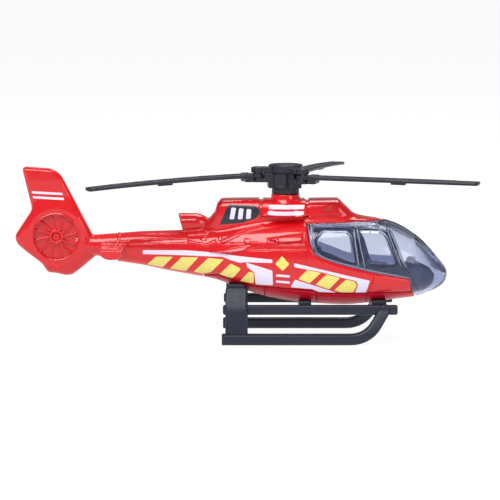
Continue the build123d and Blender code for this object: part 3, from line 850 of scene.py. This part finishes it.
def rotor_hub(x, y, z):
    """Lower half: drum on a narrower ring, with a solid root and a flat arm for each blade."""
    ring = np.hypot(x, y)
    body = smax(ring - 4.2, abs(z - 46.5) - 2.25, 0.25)
    body = smin(body, smax(ring - 4.8, abs(z - 48.35) - 2.35, 0.3), 0.15)
    for degrees in ARM_ANGLES:
        u, v = turned(x, y, degrees)
        bar = flat_arm(u, v, z, 47.8, 49.1, 0.3)
        knee = round_box(u, v, z, (0, -2.2, 46), (5.4, 2.2, 50.68), 0.3)
        web = round_box(u, v, z, (0, -2.2, 47.9), (6.62, 2.2, 50.68), 0.3)
        arm = smin(bar, smin(knee, web, 0.2), 0.2)
        gap = smax(abs(v) - 2.75, meet(3.9 - u, abs(z - 48.35) - 2.2), 0.2)
        body = join(smax(body, -gap, 0.15), arm)
        u, v = turned(x, y, degrees + 60)
        panel = round_box(u, v, z, (4.62, -1.6, 46.7), (6, 1.6, 50.2), 0.15)
        body = smax(body, -panel, 0.1)
    return meet(body, -pin_holes(x, y), MAST_HOLE - ring)


def star_plate(x, y, z):
    """Upper half: round cap with a dished top and three arms with raised pin bosses."""
    ring = np.hypot(x, y)
    body = smax(ring - 5.2, abs(z - 51.9) - 1.2, 0.5)
    body = smax(body, -meet(abs(ring - 3.6) - 0.35, 52.85 - z), 0.15)
    for degrees in ARM_ANGLES:
        u, v = turned(x, y, degrees)
        bar = flat_arm(u, v, z, 50.7, 52.35, 0.35)
        pocket = round_box(u, v, z, (5.5, -1.3, 51.9), (7, 1.3, 53.5), 0.2)
        boss = smax(np.hypot(u - PIN_CIRCLE, v) - 1.25, abs(z - 52) - 0.5, 0.2)
        body = smin(body, smin(smax(bar, -pocket, 0.15), boss, 0.1), 0.35)
    return meet(body, -meet(pin_holes(x, y), z - 51.8), -meet(ring - MAST_HOLE, z - 51.9))


def blade(droop):
    """Blade along +X from its pin: root tongue, cuff, drooping blade and a tab below."""

    def field(x, y, z):
        t = (x - 2.1) / (BLADE_LENGTH - 2.1)
        sag = np.where(t > 0, droop * (0.2 * t + 0.8 * t * t), 0)
        local = z + sag - BLADE_Z
        half = 0.65 - 0.10 * clamp(abs(y) - 1.6) - 0.12 * clamp(t)
        body = slab(blade_plan(x, y), local, half, 0.4)
        spar = slab(meet(abs(y) - 0.45, abs(x - 27) - 20), local - 0.5, 0.26, 0.15)
        body = smin(body, spar, 0.2)
        cuff = round_box(x, y, z, (2.1, -2.4, 48), (4.6, 2.4, 50.6), 0.35)
        cuff = smax(cuff, -round_box(x, y, z, (2.8, -1.6, 50.3), (3.9, 1.6, 51), 0.15), 0.1)
        tongue = meet(abs(z - BLADE_Z) - 0.63, x - 2.4)
        tongue = smax(np.hypot(np.minimum(x, 0), y) - 1.9, tongue, 0.2)
        tab = round_box(x, y, local, (27.5, -0.8, -1.25), (32, 0.8, -0.3), 0.3)
        body = smin(smin(body, cuff, 0.3), smin(tongue, tab, 0.1), 0.25)
        return meet(body, 0.66 - np.hypot(x, y))

    return field


# ---- livery ----
# Spacing of a patch's cuts, its depth in the surface and its corner radius.
PRINT_STEP, PRINT_SINK, PRINT_CORNER = 0.7, 0.06, 0.35


def cut_across(bm, direction, places):
    """Cut a flat mesh along evenly spaced lines, so that it can follow a curved side."""
    for place in np.arange(min(places) + PRINT_STEP / 2, max(places), PRINT_STEP):
        everything = [*bm.verts, *bm.edges, *bm.faces]
        bmesh.ops.bisect_plane(bm, geom=everything, plane_co=direction * place, plane_no=direction)


def skin_of(obj):
    """Ray-cast tree of a finished piece, in millimetres."""
    mesh = obj.data
    return BVHTree.FromPolygons([v.co / MM for v in mesh.vertices], [p.vertices[:] for p in mesh.polygons])


def printed(name, outline, side, surface, lift):
    """Thin closed patch laid on one side of a surface, inside an (x, z) outline."""
    points = rounded(outline, PRINT_CORNER)
    bm = bmesh.new()
    corners = [bm.verts.new((x, 0, z)) for x, z in points]
    for triangle in tessellate_polygon([[v.co.xzy for v in corners]]):
        bm.faces.new([corners[k] for k in triangle])
    cut_across(bm, Vector((1, 0, 0)), [x for x, _ in points])
    cut_across(bm, Vector((0, 0, 1)), [z for _, z in points])
    bmesh.ops.triangulate(bm, faces=bm.faces[:])
    lost, top, bottom = [], {}, {}
    for v in bm.verts:
        place, normal, _, _ = surface.ray_cast(Vector((v.co.x, side * 40, v.co.z)), Vector((0, -side, 0)))
        if place is None:
            lost.append(v)
        else:
            top[v], bottom[v] = place + normal * lift, place - normal * PRINT_SINK
    bmesh.ops.delete(bm, geom=lost, context="VERTS")
    for v in bm.verts:
        v.co = top[v]
    bmesh.ops.recalc_face_normals(bm, faces=bm.faces[:])
    if sum(f.normal.y * f.calc_area() for f in bm.faces) * side < 0:
        bmesh.ops.reverse_faces(bm, faces=bm.faces[:])
    lower = {v: bm.verts.new(bottom[v]) for v in list(bm.verts)}
    rim = [e for e in bm.edges if e.is_boundary]
    loops = [(loop.vert, loop.link_loop_next.vert) for e in rim for loop in e.link_loops]
    for f in list(bm.faces):
        bm.faces.new([lower[v] for v in reversed(f.verts)])
    for a, b in loops:
        bm.faces.new([b, a, lower[a], lower[b]])
    mesh = bpy.data.meshes.new(name)
    bmesh.ops.scale(bm, vec=(MM, MM, MM), verts=bm.verts[:])
    bm.to_mesh(mesh)
    bm.free()
    mesh.shade_smooth()
    mesh.set_sharp_from_angle(angle=math.radians(40))
    return add_object(name, mesh)


def band(run, width):
    """Outline of a strip of even width along an (x, z) run."""
    run = [Vector(p) for p in run]
    left, right = [], []
    for k, place in enumerate(run):
        along = (run[min(k + 1, len(run) - 1)] - run[max(k - 1, 0)]).normalized()
        across = Vector((-along.y, along.x)) * width / 2
        left.append(tuple(place + across))
        right.append(tuple(place - across))
    return left + right[::-1]


# ---- materials ----
def material(name):
    """New node material, with its tree and its shader."""
    made = bpy.data.materials.new(name)
    made.use_nodes = True
    tree = made.node_tree
    return made, tree, tree.nodes["Principled BSDF"]


def set_values(node, **values):
    """Set a node's own inputs, with _ for the spaces in their names."""
    for name, value in values.items():
        node.inputs[name.replace("_", " ")].default_value = value


def noise(tree, scale, detail=3.0, rough=0.5, stretch=(1, 1, 1)):
    """Noise fixed to the object, with its scale per metre."""
    place = tree.nodes.new("ShaderNodeTexCoord")
    squash = tree.nodes.new("ShaderNodeMapping")
    set_values(squash, Scale=stretch)
    out = tree.nodes.new("ShaderNodeTexNoise")
    set_values(out, Scale=scale, Detail=detail, Roughness=rough)
    tree.links.new(place.outputs["Object"], squash.inputs["Vector"])
    tree.links.new(squash.outputs["Vector"], out.inputs["Vector"])
    return out.outputs["Fac"]


def ramp(tree, source, stops):
    """Colours along a value from 0 to 1."""
    out = tree.nodes.new("ShaderNodeValToRGB")
    tree.links.new(source, out.inputs["Fac"])
    elements = out.color_ramp.elements
    while len(elements) < len(stops):
        elements.new(0.5)
    for element, (place, color) in zip(elements, stops):
        element.position = place
        element.color = (*color, 1)
    return out.outputs["Color"]


def spread(tree, source, low, high):
    """A value between 0 and 1 spread from low to high."""
    out = tree.nodes.new("ShaderNodeMapRange")
    set_values(out, From_Min=0.3, From_Max=0.7, To_Min=low, To_Max=high)
    tree.links.new(source, out.inputs["Value"])
    return out.outputs["Result"]


def bump(tree, shader, source, height, strength=1.0):
    """Surface relief of a height in metres."""
    out = tree.nodes.new("ShaderNodeBump")
    set_values(out, Strength=strength, Distance=height)
    tree.links.new(source, out.inputs["Height"])
    tree.links.new(out.outputs["Normal"], shader.inputs["Normal"])


def dress(tree, shader, color, rough, **values):
    """Link a shader's colour and roughness, and set its other inputs."""
    tree.links.new(color, shader.inputs["Base Color"])
    tree.links.new(rough, shader.inputs["Roughness"])
    set_values(shader, **values)


def enamel(name, deep, main, coat):
    """Glossy enamel: colour a little uneven, with a fine orange peel under a clear coat."""
    made, tree, shader = material(name)
    color = ramp(tree, noise(tree, 60, 3), [(0.3, deep), (0.7, main)])
    rough = spread(tree, noise(tree, 400, 3), 0.24, 0.36)
    dress(tree, shader, color, rough, Coat_Weight=coat, Coat_Roughness=0.06, Coat_IOR=1.5)
    set_values(shader, Specular_IOR_Level=0.15)
    bump(tree, shader, noise(tree, 350, 2, 0.4), 6e-6)
    return made


def ink(name, low, high):
    """Pad-printed ink: slightly speckled, under the same gloss."""
    made, tree, shader = material(name)
    color = ramp(tree, noise(tree, 1500, 4, 0.6), [(0.32, low), (0.55, high)])
    rough = spread(tree, noise(tree, 900, 3), 0.3, 0.45)
    dress(tree, shader, color, rough, Coat_Weight=0.3, Coat_Roughness=0.12)
    bump(tree, shader, noise(tree, 1200, 2), 1e-5)
    return made


def plastic(name, low, high, rough, grain, glow=0.0):
    """Moulded plastic: faint flow marks in the colour and a fine matt grain.

    The glow is painted light: an emission that stands in for daylight that the clear glazing lets into the
    cabin.
    """
    made, tree, shader = material(name)
    color = ramp(tree, noise(tree, 70, 5, 0.6, (0.35, 1, 1)), [(0.3, low), (0.7, high)])
    rough = spread(tree, noise(tree, 700, 4), rough - 0.07, rough + 0.07)
    dress(tree, shader, color, rough, Specular_IOR_Level=0.35)
    set_values(shader, Emission_Color=(*high, 1), Emission_Strength=glow)
    bump(tree, shader, noise(tree, 2600, 3, 0.6), grain, 0.6)
    return made


def steel(name):
    """Plated steel with fine turning marks."""
    made, tree, shader = material(name)
    marks = noise(tree, 900, 4, 0.6, (1, 1, 5))
    color = ramp(tree, marks, [(0.3, (0.42, 0.42, 0.44)), (0.7, (0.62, 0.62, 0.64))])
    dress(tree, shader, color, spread(tree, marks, 0.22, 0.4), Metallic=1.0)
    bump(tree, shader, marks, 1e-5, 0.5)
    return made


def smoke_glass(name):
    """Clear smoke-blue moulding with faint flow lines."""
    made, tree, shader = material(name)
    flow = noise(tree, 60, 3, 0.5, (0.4, 1, 1))
    color = ramp(tree, flow, [(0.3, (0.9, 0.92, 0.97)), (0.7, (0.94, 0.955, 0.985))])
    rough = spread(tree, noise(tree, 300, 2), 0.01, 0.035)
    dress(tree, shader, color, rough, Transmission_Weight=1.0, IOR=1.35)
    bump(tree, shader, noise(tree, 120, 2, 0.4), 2e-5, 0.5)
    tint = tree.nodes.new("ShaderNodeVolumeAbsorption")
    set_values(tint, Color=(0.26, 0.34, 0.6, 1), Density=240.0)
    tree.links.new(tint.outputs["Volume"], tree.nodes["Material Output"].inputs["Volume"])
    return made


# ---- assembly ----
def piece(obj, slot, *nodes, body="airframe", look=None):
    """Give a piece its body and the material of its slot or the given look, and let it take the place of CAD
    nodes.
    """
    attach(obj, body)
    obj.data.materials.clear()
    obj.data.materials.append(look or LOOKS[slot])
    if nodes:
        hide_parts(*nodes)


LOOKS = {
    "red_paint": enamel("red_enamel", (0.6, 0.005, 0.01), (0.67, 0.008, 0.012), 0.9),
    "red_belly": enamel("red_enamel_belly", (0.44, 0.004, 0.018), (0.52, 0.006, 0.024), 0.12),
    "tinted_glazing": smoke_glass("smoke_glazing"),
    # The cabin moulding glows a little: painted light standing in for daylight through the glazing.
    "interior_plastic": plastic(
        "cabin_interior", (0.04, 0.052, 0.1), (0.058, 0.07, 0.125), 0.45, 6e-6, 0.55
    ),
    "gear_plastic": plastic("gear_plastic", (0.012, 0.015, 0.029), (0.019, 0.023, 0.041), 0.42, 8e-6),
    "rotor_plastic": plastic("rotor_plastic", (0.013, 0.013, 0.021), (0.021, 0.02, 0.031), 0.38, 8e-6),
    "bare_metal": steel("plated_steel"),
}
FRAME_LOOK = plastic("window_lining", (0.06, 0.07, 0.12), (0.09, 0.105, 0.17), 0.25, 3e-6)
# The cabin lining glows: painted light standing in for daylight through the glazing.
CABIN_LOOK = plastic("cabin_lining", (0.15, 0.17, 0.27), (0.2, 0.22, 0.33), 0.4, 3e-6, 1.0)
# Light blue-grey strips laid on the glazing's mould edges: painted highlights.
HIGHLIGHT_LOOK = plastic("window_trim", (0.24, 0.27, 0.38), (0.34, 0.38, 0.5), 0.25, 3e-6)
WHITE_INK = ink("white_ink", (0.7, 0.65, 0.82), (0.75, 0.7, 0.87))
YELLOW_INK = ink("yellow_ink", (0.74, 0.62, 0.13), (0.81, 0.7, 0.17))
BLACK_INK = ink("black_ink", (0.008, 0.009, 0.02), (0.013, 0.015, 0.03))

CAST_CELL = 0.22
# Name, outer and inner depth below the hull, reach past the glazing's edge, and look.
LININGS = [("window_lining", 1.36, 1.75, -0.35, FRAME_LOOK), ("cabin_lining", 1.77, 2.15, 2.6, CABIN_LOOK)]


def print_livery(surface):
    """Bands, hazard blocks and plain bars where words would be, on both sides of the casting."""
    groups = (
        ("band", [STRIPE, WHITE_BLOCK, FRONT_BAND, LOWER_BAND], 0.03, WHITE_INK),
        ("block", YELLOW, 0.05, YELLOW_INK),
        ("mark", WHITE_MARKS + COWL_BARS + FIN_BARS, 0.04, WHITE_INK),
        ("panel", [BLACK_PANEL], 0.03, BLACK_INK),
        ("panel_bar", PANEL_BARS, 0.06, WHITE_INK),
    )
    for side, word in SIDES:
        for group, outlines, lift, look in groups:
            for number, outline in enumerate(outlines):
                patch = printed(f"print_{group}_{word}_{number + 1}", outline, side, surface, lift)
                piece(patch, "red_paint", look=look)


def lay_painted_highlights(surface):
    """Painted highlights: lighter strips on the mould edges on both sides of the glazing."""
    for side, word in SIDES:
        for number, (run, width) in enumerate(HIGHLIGHT_RUNS):
            strip = printed(f"trim_{word}_{number + 1}", band(run, width), side, surface, 0.04)
            piece(strip, "tinted_glazing", look=HIGHLIGHT_LOOK)


def build_fuselage():
    """Casting, belly, glazing, linings, cabin and fan, then the print and the painted highlights on the
    glazing.
    """
    shell = solid("fuselage_casting", casting, (-83, -17, 9), (41, 17, 54), CAST_CELL)
    piece(shell, "red_paint", "fuselage_shell")
    plate = solid("belly_casting", belly, (-25, -13, 9), (40, 13, 21), 0.26)
    piece(plate, "red_belly", "belly_plate")
    glass = solid("canopy_moulding", glazing, (6, -13, 9), (50, 13, 39), 0.24)
    piece(glass, "tinted_glazing", "canopy_glazing")
    for name, outer, inner, reach, look in LININGS:
        lining = solid(name, window_frame(outer, inner, reach), (6, -13, 12), (46, 13, 38), 0.3)
        piece(lining, "interior_plastic", look=look)
    seats = solid("cabin_moulding", interior, (8, -12, 13), (46, 12, 34), 0.32)
    piece(seats, "interior_plastic", "cabin_interior")
    for side, word in SIDES:
        low, high = sorted((side * 0.4, side * 2.6))
        fan = solid(f"fan_{word}", fan_blades(side), (-76.9, low, 24.0), (-62.7, high, 38.2), 0.14)
        piece(fan, "red_paint")
    print_livery(skin_of(shell))
    lay_painted_highlights(skin_of(glass))


def build_gear():
    """Runners, step bars, rear legs, beams and rivets."""
    for side, word in SIDES:
        low, high = sorted((side * 9.5, side * 16.5))
        made = solid(f"runner_{word}", skid, (-20, low, -0.2), (32.5, high, 12), 0.26)
        piece(made, "gear_plastic", f"skid_{word}")
        made = solid(f"step_{word}", step_bar, (-20, low, 8), (34, high, 12), 0.26)
        piece(made, "gear_plastic", f"step_bar_{word}")
        low, high = sorted((side * 6.5, side * 16.5))
        made = solid(f"leg_{word}", rear_strut, (-19, low, 1.5), (-11, high, 18), 0.24)
        piece(made, "gear_plastic", f"rear_strut_{word}")
    for name, sizes in BEAMS.items():
        rear, front, low, high, reach, _ = sizes
        made = solid(f"beam_{name}", cross_beam(*sizes), (rear, -reach, low), (front, reach, high + 1), 0.24)
        piece(made, "gear_plastic", f"cross_beam_{name}")
    made = solid("rivets", rivet, (-17, -2, 8), (8, 2, 22), 0.16)
    piece(made, "bare_metal", "belly_rivets")


def place_blade(obj, number):
    """Turn a finished blade from +X and put it on its pin."""
    angle = math.radians(ARM_ANGLES[number])
    pin = Vector((math.cos(angle), math.sin(angle), 0)) * PIN_CIRCLE * MM
    turn = Matrix.Rotation(math.radians(BLADE_ANGLES[number]), 4, "Z")
    obj.data.transform(Matrix.Translation(pin) @ turn)


def build_rotor():
    """Both halves of the head, and the three blades on their pins."""
    hub = solid("hub_body", rotor_hub, (-12, -12, 44), (12, 12, 51), 0.16)
    piece(hub, "rotor_plastic", "rotor_hub", body="rotor_head")
    plate = solid("hub_star", star_plate, (-12, -12, 50.4), (12, 12, 53.4), 0.16)
    piece(plate, "rotor_plastic", "rotor_star_plate", body="rotor_head")
    for number, letter in enumerate("abc"):
        made = solid(f"blade_{letter}", blade(BLADE_DROOPS[number]), (-2, -3, 46), (54.5, 3, 51), 0.24)
        place_blade(made, number)
        piece(made, "rotor_plastic", f"rotor_blade_{letter}", body=f"blade_{letter}")


def dress_cad_parts():
    """Plated steel for the small parts that stay as they are in the CAD."""
    for obj in bpy.data.objects:
        if obj.type == "MESH" and obj.name.split(".")[0] in ("rotor_mast", "mast_retainer", "blade_pins"):
            obj.data.materials.clear()
            obj.data.materials.append(LOOKS["bare_metal"])


# ---- camera, floor and light ----
def camera():
    """Long lens a little above the model, square to its right side."""
    data = bpy.data.cameras.new("camera")
    data.lens, data.sensor_width, data.clip_start = 144.0, 36.0, 0.01
    obj = add_object("camera", data)
    aim, tilt, distance = Vector((-0.0108, 0.0, 0.02675)), math.radians(7.9), 0.6116
    obj.location = aim + Vector((0, -distance * math.cos(tilt), distance * math.sin(tilt)))
    obj.rotation_euler = (math.pi / 2 - tilt, 0, 0)
    SCENE.camera = obj


def floor():
    """Plain white floor that glows a little, as lit studio paper does."""
    bm = bmesh.new()
    bmesh.ops.create_circle(bm, cap_ends=True, segments=64, radius=12.0)
    bmesh.ops.translate(bm, vec=(0, 0, -0.00005), verts=bm.verts[:])
    mesh = bpy.data.meshes.new("floor")
    bm.to_mesh(mesh)
    bm.free()
    obj = add_object("floor", mesh)
    made, _, shader = material("floor_paper")
    set_values(shader, Base_Color=(0.14, 0.14, 0.14, 1), Roughness=0.9, Specular_IOR_Level=0.0)
    set_values(shader, Emission_Color=(1, 1, 1, 1), Emission_Strength=FLOOR_GLOW)
    mesh.materials.append(made)


def softbox(name, place, size, power):
    """Soft rectangular lamp aimed at the model."""
    data = bpy.data.lights.new(name, "AREA")
    data.shape, data.size, data.size_y, data.energy = "RECTANGLE", size[0], size[1], power
    obj = add_object(name, data)
    obj.location = place
    obj.rotation_euler = (Vector((0, 0, 0.03)) - Vector(place)).to_track_quat("-Z", "Y").to_euler()


FLOOR_GLOW = 0.93
SKY = [(0, (0.9, 0.9, 0.9)), (0.05, (0.35, 0.35, 0.36)), (0.5, (0.16, 0.16, 0.17)), (1, (0.22, 0.22, 0.23))]


def studio():
    """Grey sky that brightens towards the horizon."""
    world = bpy.data.worlds.new("studio")
    world.use_nodes = True
    tree = world.node_tree
    place = tree.nodes.new("ShaderNodeTexCoord")
    split = tree.nodes.new("ShaderNodeSeparateXYZ")
    tree.links.new(place.outputs["Generated"], split.inputs["Vector"])
    sky = ramp(tree, split.outputs["Z"], SKY)
    tree.links.new(sky, tree.nodes["Background"].inputs["Color"])
    SCENE.world = world
    SCENE.view_settings.view_transform = "Standard"


build_fuselage()
build_gear()
build_rotor()
dress_cad_parts()
camera()
floor()
studio()
softbox("key", (-0.25, -0.45, 0.7), (0.7, 0.45), 7.5)
softbox("fill", (0.55, -0.62, 0.3), (0.3, 0.3), 1.2)
softbox("top", (0.15, 0.3, 0.8), (0.5, 0.4), 4.0)
